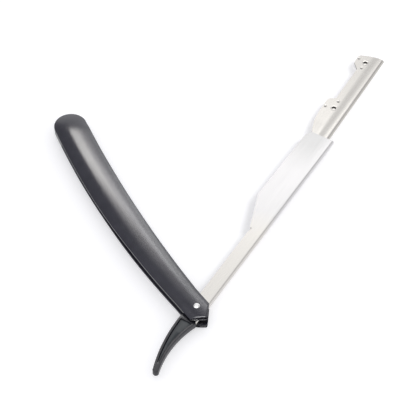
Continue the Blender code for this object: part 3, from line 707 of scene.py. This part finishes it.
def make_pivot():
    bore = PIN_RADIUS + TINY
    front = ([(bore, FRONT_COLLAR_LOW), (bore, FRONT_COLLAR_HIGH)]
             + quarter(COLLAR_RADIUS, FRONT_COLLAR_HIGH, COLLAR_ROUNDING)
             + [(COLLAR_RADIUS, FRONT_COLLAR_LOW), (bore, FRONT_COLLAR_LOW)])
    rear = ([(bore, REAR_COLLAR_HIGH), (bore, REAR_COLLAR_LOW)]
            + quarter(COLLAR_RADIUS, REAR_COLLAR_LOW, COLLAR_ROUNDING, -1)
            + [(COLLAR_RADIUS, REAR_COLLAR_HIGH), (bore, REAR_COLLAR_HIGH)])
    head = [(PIN_HEAD_RADIUS * math.sin(angle),
             FRONT_COLLAR_HIGH + (PIN_TOP - FRONT_COLLAR_HIGH) * math.cos(angle))
            for angle in spread(0, math.pi / 2, 8)]
    head[0] = (0, PIN_TOP - PIN_DIMPLE)
    pin = head + [(PIN_RADIUS, FRONT_COLLAR_HIGH - TINY), (PIN_RADIUS, REAR_COLLAR_LOW)]
    pin += [(PIN_HEAD_RADIUS, REAR_COLLAR_LOW - TINY), (PIN_FOOT_RADIUS, PIN_BOTTOM),
            (0, PIN_BOTTOM)]
    for name, profile, node in (("front_collar_ring", front, "front_collar"),
                                ("rear_collar_ring", rear, "rear_collar"),
                                ("peened_pin", pin, "pivot_pin")):
        mesh = turned(name, profile)
        bare = bmesh.new()
        bare.from_mesh(mesh)
        bmesh.ops.remove_doubles(bare, verts=bare.verts, dist=TINY / 10)
        bare.to_mesh(mesh)
        bare.free()
        smooth(mesh)
        mesh.materials.append(COLLAR_STEEL)
        new_piece(name, mesh, HANDLE_DIRECTION, "handle", "satin_steel", node)


# ---------------------------------------------------------------- arm and tang


def arm_edge(reach):
    """How far out the open edge of the folded arm lies, at a place along it."""
    return between(reach, [
        (-SPINE_TAIL, EDGE_OFFSET), (SLEEVE_FLARE - NICK_LENGTH, EDGE_OFFSET),
        (SLEEVE_FLARE, EDGE_OFFSET - NICK_DEPTH),
        (SLEEVE_FLARE + TINY, EDGE_OFFSET + FLARE_STEP), (SLEEVE_HEEL, HEEL_EDGE),
        (ARM_REACH - MOUTH_CHAMFER, MOUTH_EDGE), (ARM_REACH, MOUTH_CORNER_EDGE)])


def folded_ring(reach_at, edge):
    """A ring over the folded sheet: out along the top, round the fold, back inside."""
    outside, inside = [], []
    centre = -SPINE_OFFSET + FOLD_RADIUS
    for radius, level, path in ((FOLD_RADIUS, HALF_ARM, outside),
                                (FOLD_RADIUS - SHEET, HALF_ARM - SHEET, inside)):
        top = [(across, level) for across in spread(edge, centre, 10)]
        turn = [(centre - radius * math.sin(angle),
                 (HALF_ARM - FOLD_RADIUS) + radius * math.cos(angle))
                for angle in spread(0, math.pi / 2, 8)[1:]]
        upper = top + turn
        path += upper + [(across, -height) for across, height in upper[::-1]]
    return [(reach_at(across), across, height) for across, height in outside + inside[::-1]]


def make_arm():
    rings = []
    tail_slope = (SPINE_TAIL - LEAF_TAIL) / (EDGE_OFFSET + SPINE_OFFSET)

    def tail(across):
        return -SPINE_TAIL + (across + SPINE_OFFSET) * tail_slope

    for share in spread(1, 0, 5):
        rings.append(folded_ring(
            lambda across, share=share: TAIL_END + (tail(across) - TAIL_END) * share,
            EDGE_OFFSET))
    nick, chamfer = SLEEVE_FLARE - NICK_LENGTH, ARM_REACH - MOUTH_CHAMFER
    stations = spread(TAIL_END, nick, 14)[1:] + spread(nick, SLEEVE_FLARE, 4)[1:]
    stations += [SLEEVE_FLARE + TINY] + spread(SLEEVE_FLARE, SLEEVE_HEEL, 10)[1:]
    stations += spread(SLEEVE_HEEL, chamfer, 16)[1:] + spread(chamfer, ARM_REACH, 4)[1:]
    for reach in stations:
        rings.append(folded_ring(lambda across, reach=reach: reach, arm_edge(reach)))
    mesh = rounded(skin("arm_sheet", rings), SHEET_ROUNDING, 2)
    smooth(mesh, SHEET_SHARP_ANGLE)
    mesh.materials.append(ARM_STEEL)
    new_piece("arm_sheet", mesh, ARM_DIRECTION, "arm", "satin_steel", "arm_channel")


def tang_sections():
    """Left and right points, thickness and recess of the horn's sections, root to tip."""
    end = -TANG_LENGTH
    edge = circle_at(TANG_EDGE_ROOT, TANG_EDGE_WAIST, (end, -TANG_TIP_DROP + TANG_TIP_RADIUS))
    spine = circle_at(TANG_SPINE_ROOT, TANG_SPINE_WAIST, (end, -TANG_TIP_DROP - TANG_TIP_RADIUS))
    low = HALF_ARM - SHOULDER_DROP
    yield (-LEAF_TAIL - TANG_GAP, EDGE_OFFSET), (-SPINE_TAIL - TANG_GAP, -SPINE_OFFSET), low, 0
    yield *SHOULDER_LOW, low, 0
    yield *SHOULDER_HIGH, HALF_ARM, 0
    root = PANEL_ROOT
    yield (root + TINY, edge(root)), (root - TINY, spine(root)), HALF_ARM, 0
    yield (root, edge(root)), (root - 2 * TINY, spine(root)), HALF_ARM, PANEL_DEPTH
    for reach in spread(root, PANEL_END, 26)[1:]:
        yield (reach, edge(reach)), (reach, spine(reach)), HALF_ARM, PANEL_DEPTH
    for reach in spread(PANEL_END, end, 6)[1:]:
        yield (reach, edge(reach)), (reach, spine(reach)), HALF_ARM, 0
    for angle in spread(0, TANG_END_ANGLE, 10)[1:]:
        reach = end - TANG_TIP_RADIUS * math.sin(angle)
        half = TANG_TIP_RADIUS * math.cos(angle)
        yield (reach, half - TANG_TIP_DROP), (reach, -half - TANG_TIP_DROP), HALF_ARM, 0


def make_tang():
    rings = []
    for left, right, half, recess in tang_sections():
        left, right = Vector(left), Vector(right)
        width = (left - right).length
        rim = min(TANG_RIM, width / 3)
        groove = min(TANG_GROOVE, width / 9)
        places = [0, rim, rim + TINY, rim + groove, width - rim - groove, width - rim - TINY,
                  width - rim, width]
        shares = [place / width for place in places]
        drops = [0, 0, recess * GROOVE_SHARE, recess, recess, recess * GROOVE_SHARE, 0, 0]
        top = [(*left.lerp(right, share), half - drop) for share, drop in zip(shares, drops)]
        rings.append(top + [(x, y, -z) for x, y, z in top[::-1]])
    mesh = skin("tang_horn", rings)
    for polygon in mesh.polygons:
        heights = [abs(mesh.vertices[corner].co.z) for corner in polygon.vertices]
        if max(heights) < HALF_ARM - PANEL_DEPTH / 2 and abs(polygon.normal.z) > 0.9:
            polygon.material_index = 1
    mesh.materials.append(TANG_PLASTIC)
    mesh.materials.append(PANEL_PLASTIC)
    mesh = rounded(mesh, TANG_ROUNDING)
    smooth(mesh)
    new_piece("tang_horn", mesh, ARM_DIRECTION, "arm", "black_plastic", "tang")
    inner = -SPINE_OFFSET + FOLD_RADIUS
    outer = EDGE_OFFSET - TONGUE_EDGE_ROOM
    rings = [[(reach, outer, TONGUE_HALF), (reach, inner, TONGUE_HALF),
              (reach, inner, -TONGUE_HALF), (reach, outer, -TONGUE_HALF)]
             for reach in (-SPINE_TAIL - TANG_GAP, 0, TONGUE_REACH)]
    tongue = rounded(skin("tang_tongue", rings, strip_caps=False), SHEET_ROUNDING)
    smooth(tongue)
    tongue.materials.append(TANG_PLASTIC)
    new_piece("tang_tongue", tongue, ARM_DIRECTION, "arm", "black_plastic")


# ---------------------------------------------------------------- blade holder


def holder_edge(reach):
    """How far out the holder's open edge lies: two tabs with a notch between them."""
    return between(reach, [
        (HOLDER_END, GRIP_WIDTH), (GRIP_END, GRIP_WIDTH), (TAPER_START, 0.0058),
        (0.1339, 0.008), (0.1402, 0.0088), (0.1455, TAB_WIDTH), (LOWER_TAB_END, TAB_WIDTH),
        (LOWER_RAMP, 0.0084), (NOTCH_START, NOTCH_WIDTH), (NOTCH_END, NOTCH_WIDTH),
        (UPPER_RAMP, 0.0087), (0.183, TAB_WIDTH), (HOLDER_TIP, TAB_WIDTH)])


def holder_height(reach, across):
    """Height of the holder's top face: flat leaf, hollowed cove, ridge and rounded back."""
    if across < RIDGE_ACROSS:
        share = (RIDGE_ACROSS - across) / (RIDGE_ACROSS - HOLDER_SPINE)
        return RIDGE_HEIGHT * math.sqrt(max(1 - share * share, 0))
    rise = (RIDGE_HEIGHT - HOLDER_HALF) * (1 - eased(across, RIDGE_ACROSS,
                                                     COVE_START - RIDGE_ACROSS))
    lift = min(max((CREASE - reach) / CREASE_RUN, 0), 1) * CREASE_LIFT
    lift *= eased(across, CREASE_ACROSS, CREASE_SPREAD)
    return HOLDER_HALF + rise + lift


def make_holder():
    rings = []

    def ring(reach_at, edge):
        cove = min(COVE_START, edge - TINY)
        places = spread(edge, cove, 8) + spread(cove, RIDGE_ACROSS, 14)[1:]
        places += [RIDGE_ACROSS + (HOLDER_SPINE - RIDGE_ACROSS) * math.sin(angle)
                   for angle in spread(0, math.pi / 2, 12)[1:]]
        outside = [(across, holder_height(reach_at(across), across)) for across in places]
        outside += [(across, -height) for across, height in outside[-2::-1]]
        inside = [(across, BLADE_SLOT_HALF)
                  for across in spread(edge, SLOT_BOTTOM, len(outside) // 2 - 1)]
        inside += [(SLOT_BOTTOM - BLADE_SLOT_HALF, 0)]
        inside += [(across, -height) for across, height in inside[-2::-1]]
        rings.append([(reach_at(across), across, height)
                      for across, height in outside + inside[::-1]])

    stations = [HOLDER_END, GRIP_MIDDLE, GRIP_END] + spread(GRIP_END, TAPER_START, 3)[1:]
    stations += spread(TAPER_START, CREASE, 8)[1:] + spread(CREASE, LOWER_TAB_END, 8)[1:]
    stations += [LOWER_RAMP] + spread(LOWER_RAMP, NOTCH_START, 4)[1:]
    stations += spread(NOTCH_START, NOTCH_END, 8)[1:] + spread(NOTCH_END, UPPER_RAMP, 5)[1:]
    for reach in stations:
        ring(lambda across, reach=reach: reach, holder_edge(reach))
    last = stations[-1]

    def tip_at(across):
        return HOLDER_TIP - (across - TIP_PEAK) ** 2 / (2 * TIP_RADIUS)

    corner_share = 1 - TAB_CORNER / (tip_at(TAB_WIDTH) - last)
    for share in spread(0, corner_share, 6)[1:] + spread(corner_share, 1, 3)[1:]:
        def reach_at(across, share=share):
            return last + (tip_at(across) - last) * share
        trim = TAB_CORNER * max(share - corner_share, 0) / (1 - corner_share)
        ring(reach_at, min(holder_edge(reach_at(TAB_WIDTH)), TAB_WIDTH) - trim)
    mesh = skin("holder_sheet", rings)
    mesh = drilled(mesh, [(place, HOLE_RADIUS, HOLDER_HALF - HOLE_DEPTH, HALF_ARM)
                          for place in (UPPER_PIN, LOWER_PIN)])
    smooth(mesh)
    mesh.materials.append(HOLDER_STEEL)
    mesh.materials.append(SHADE_STEEL)
    # The notch's sheared edge faces take the dark steel: painted shade
    for polygon in mesh.polygons:
        reach, across, _ = polygon.center
        sheared = NOTCH_END < reach < UPPER_RAMP and across > NOTCH_WIDTH
        if sheared and abs(polygon.normal.z) < 0.5:
            polygon.material_index = 1
    new_piece("holder_sheet", mesh, HOLDER_DIRECTION, "holder", "satin_steel", "blade_holder")


def make_holder_details():
    for name, place, node in (("upper_pin_head", UPPER_PIN, "upper_blade_pin"),
                              ("lower_pin_head", LOWER_PIN, "lower_blade_pin")):
        floor = HOLDER_HALF - HOLE_DEPTH
        top = HOLDER_HALF - BLADE_PIN_SUNK
        head = quarter(BLADE_PIN_RADIUS, top, HOLE_DEPTH - BLADE_PIN_SUNK)
        mesh = turned(name, [(0, top)] + head
                      + [(BLADE_PIN_RADIUS, floor - TINY), (0, floor - TINY)], place)
        smooth(mesh)
        mesh.materials.append(HOLDER_STEEL)
        new_piece(name, mesh, HOLDER_DIRECTION, "holder", "satin_steel", node)
        # A dark ring in the hole's wall, round the pin: painted shade
        shade_lining = [(HOLE_RADIUS - TINY, HOLDER_HALF - TINY), (BLADE_PIN_RADIUS, floor + TINY),
                  (BLADE_PIN_RADIUS, floor - TINY), (HOLE_RADIUS - TINY, floor - TINY)]
        mesh = turned(name + "_seat", shade_lining + shade_lining[:1], place)
        smooth(mesh)
        mesh.materials.append(SHADE_STEEL)
        new_piece(name + "_seat", mesh, HOLDER_DIRECTION, "holder", "satin_steel")
        rim = [(HOLE_RADIUS + out, HOLDER_HALF + up) for out, up in HOLE_RIM]
        mesh = turned(name + "_rim", rim + rim[:1], place)
        smooth(mesh)
        mesh.materials.append(HOLDER_STEEL)
        new_piece(name + "_rim", mesh, HOLDER_DIRECTION, "holder", "satin_steel")
    for name, place in BUMPS.items():
        cap = [(BUMP_RADIUS * math.sin(angle), HOLDER_HALF + BUMP_HEIGHT * math.cos(angle))
               for angle in spread(0, math.pi / 2, 8)]
        cap[0] = (0, HOLDER_HALF + BUMP_HEIGHT)
        mesh = turned(name, cap + [(BUMP_RADIUS, HOLDER_HALF - TINY), (0, HOLDER_HALF - TINY)],
                      place)
        smooth(mesh)
        mesh.materials.append(HOLDER_STEEL)
        new_piece(name, mesh, HOLDER_DIRECTION, "holder", "satin_steel")


# ---------------------------------------------------------------- studio


def make_floor():
    mesh = bpy.data.meshes.new("floor")
    shape = bmesh.new()
    bmesh.ops.create_grid(shape, x_segments=1, y_segments=1, size=FLOOR_SIZE)
    shape.to_mesh(mesh)
    shape.free()
    floor = bpy.data.objects.new("floor", mesh)
    floor.location.z = -TINY
    bpy.context.scene.collection.objects.link(floor)
    material = bpy.data.materials.new("floor_white")
    material.use_nodes = True
    nodes, links = material.node_tree.nodes, material.node_tree.links
    surface = nodes["Principled BSDF"]
    surface.inputs["Base Color"].default_value = (*FLOOR_COLOUR, 1)
    surface.inputs["Roughness"].default_value = 0.9
    surface.inputs["Specular IOR Level"].default_value = 0.0
    glow = nodes.new("ShaderNodeEmission")
    glow.inputs["Color"].default_value = (*FLOOR_GLOW, 1)
    path = nodes.new("ShaderNodeLightPath")
    seen = nodes.new("ShaderNodeMath")
    seen.operation = 'MAXIMUM'
    links.new(path.outputs["Is Camera Ray"], seen.inputs[0])
    links.new(path.outputs["Is Glossy Ray"], seen.inputs[1])
    links.new(seen.outputs["Value"], glow.inputs["Strength"])
    both = nodes.new("ShaderNodeAddShader")
    links.new(surface.outputs["BSDF"], both.inputs[0])
    links.new(glow.outputs["Emission"], both.inputs[1])
    links.new(both.outputs["Shader"], nodes["Material Output"].inputs["Surface"])
    mesh.materials.append(material)
    return floor


def make_world():
    world = bpy.data.worlds.new("studio")
    bpy.context.scene.world = world
    world.use_nodes = True
    nodes, links = world.node_tree.nodes, world.node_tree.links
    background = nodes["Background"]
    place = nodes.new("ShaderNodeTexCoord").outputs["Generated"]
    glows = nodes.new("ShaderNodeMix")
    glows.data_type = 'RGBA'
    glows.blend_type = 'LIGHTEN'
    glows.inputs[MIX_SHARE].default_value = 1
    for socket, direction, start, dim, end, lit in WORLD_GLOWS:
        towards = nodes.new("ShaderNodeVectorMath")
        towards.operation = 'DOT_PRODUCT'
        towards.inputs[1].default_value = direction
        links.new(place, towards.inputs[0])
        ramp = nodes.new("ShaderNodeValToRGB")
        ramp.color_ramp.elements[0].position = start
        ramp.color_ramp.elements[0].color = (*dim, 1)
        ramp.color_ramp.elements[1].position = end
        ramp.color_ramp.elements[1].color = (*lit, 1)
        links.new(towards.outputs["Value"], ramp.inputs["Fac"])
        links.new(ramp.outputs["Color"], glows.inputs[socket])
    path = nodes.new("ShaderNodeLightPath")
    mix = nodes.new("ShaderNodeMix")
    mix.data_type = 'RGBA'
    mix.inputs[MIX_B].default_value = (1, 1, 1, 1)
    links.new(path.outputs["Is Camera Ray"], mix.inputs[MIX_SHARE])
    links.new(glows.outputs[MIX_RESULT], mix.inputs[MIX_A])
    links.new(mix.outputs[MIX_RESULT], background.inputs["Color"])
    background.inputs["Strength"].default_value = 1.0


def add_area(name, place, turn, width, height, radiance, colour=(1, 1, 1), receivers=None,
             aim=None, blockers=None):
    """A softbox, turned by angles in degrees or aimed at a point.

    It lights the receivers alone and only the blockers shade it, where these are given.
    """
    light = bpy.data.lights.new(name, 'AREA')
    light.shape = 'RECTANGLE'
    light.size = width
    light.size_y = height
    light.energy = radiance * math.pi * width * height
    light.color = colour
    lamp = bpy.data.objects.new(name, light)
    lamp.location = place
    lamp.rotation_euler = [math.radians(angle) for angle in turn]
    if aim:
        lamp.rotation_euler = (Vector(place) - Vector(aim)).to_track_quat('Z', 'Y').to_euler()
    lamp.visible_camera = False
    if receivers:
        lamp.light_linking.receiver_collection = receivers
    if blockers:
        lamp.light_linking.blocker_collection = blockers
    bpy.context.scene.collection.objects.link(lamp)


def pieces_of(name, *finishes):
    pieces = bpy.data.collections.new(name)
    for piece in bpy.data.objects:
        if piece.type == 'MESH' and any(finish in finishes for finish in piece.data.materials):
            pieces.objects.link(piece)
    return pieces


def make_lights(floor):
    ground = bpy.data.collections.new("ground")
    ground.objects.link(floor)
    plastic = pieces_of("plastic_pieces", PLASTIC, TANG_PLASTIC, PANEL_PLASTIC)
    steel = pieces_of("steel_pieces", ARM_STEEL, HOLDER_STEEL, COLLAR_STEEL)
    tops = pieces_of("top_lit_pieces", PLASTIC, COLLAR_STEEL)
    add_area("near_softbox", (-0.10, 0.295, 0.30), (0, 0, 12), 0.16, 0.09, 16,
             (1.0, 0.985, 0.955), plastic)
    add_area("middle_softbox", (0.045, 0.352, 0.30), (0, 0, 40), 0.16, 0.11, 10.5,
             receivers=plastic)
    add_area("strip_softbox", (0.13, 0.445, 0.30), (0, 0, 45), 0.22, 0.07, 7,
             receivers=plastic)
    add_area("far_strip_softbox", (0.30, 0.70, 0.30), (0, 0, 59), 0.36, 0.08, 6.5,
             receivers=plastic)
    add_area("top_softbox", (-0.11, -0.19, 0.5), (0, 0, 0), 0.42, 0.26, 14, receivers=tops)
    add_area("arm_softbox", (0.252, 0.983, 1.122), (0, 0, 0), 0.6, 0.19, 0.74,
             receivers=steel, aim=(0.035, 0.01, 0))
    add_area("low_softbox", (0.1, 1.5, 0.42), (-90, 0, 0), 1.2, 0.5, 2.2, receivers=steel)
    add_area("floor_softbox", (0.62, 0.02, 0.80), (0, 0, 0), 0.4, 0.4, 6.4, receivers=ground,
             aim=(0, 0, 0), blockers=steel)
    add_area("back_panel", (0.1, 1.6, 0.47), (-90, 0, 0), 2.2, 0.85, 0.9)


def make_camera():
    data = bpy.data.cameras.new("photo_camera")
    data.sensor_fit = 'HORIZONTAL'
    data.sensor_width = SENSOR
    data.lens = FOCAL_PIXELS / IMAGE_SIDE * SENSOR
    data.clip_start, data.clip_end = CLIP_RANGE
    camera = bpy.data.objects.new("photo_camera", data)
    offset = Vector((0, -math.cos(CAMERA_ELEVATION), math.sin(CAMERA_ELEVATION)))
    camera.location = CAMERA_TARGET + offset * CAMERA_DISTANCE
    camera.rotation_euler = (math.pi / 2 - CAMERA_ELEVATION, 0, 0)
    bpy.context.scene.collection.objects.link(camera)
    bpy.context.scene.camera = camera


def main():
    make_shells()
    make_wedge()
    make_pivot()
    make_arm()
    make_tang()
    make_holder()
    make_holder_details()
    washer = nylon()
    for node in ("front_thrust_washer", "rear_thrust_washer"):
        for material_slot in frame["nodes"][node].material_slots:
            material_slot.material = washer
    floor = make_floor()
    make_world()
    make_lights(floor)
    make_camera()
    bpy.context.scene.view_settings.view_transform = 'Standard'


main()
bpy.context.view_layer.update()
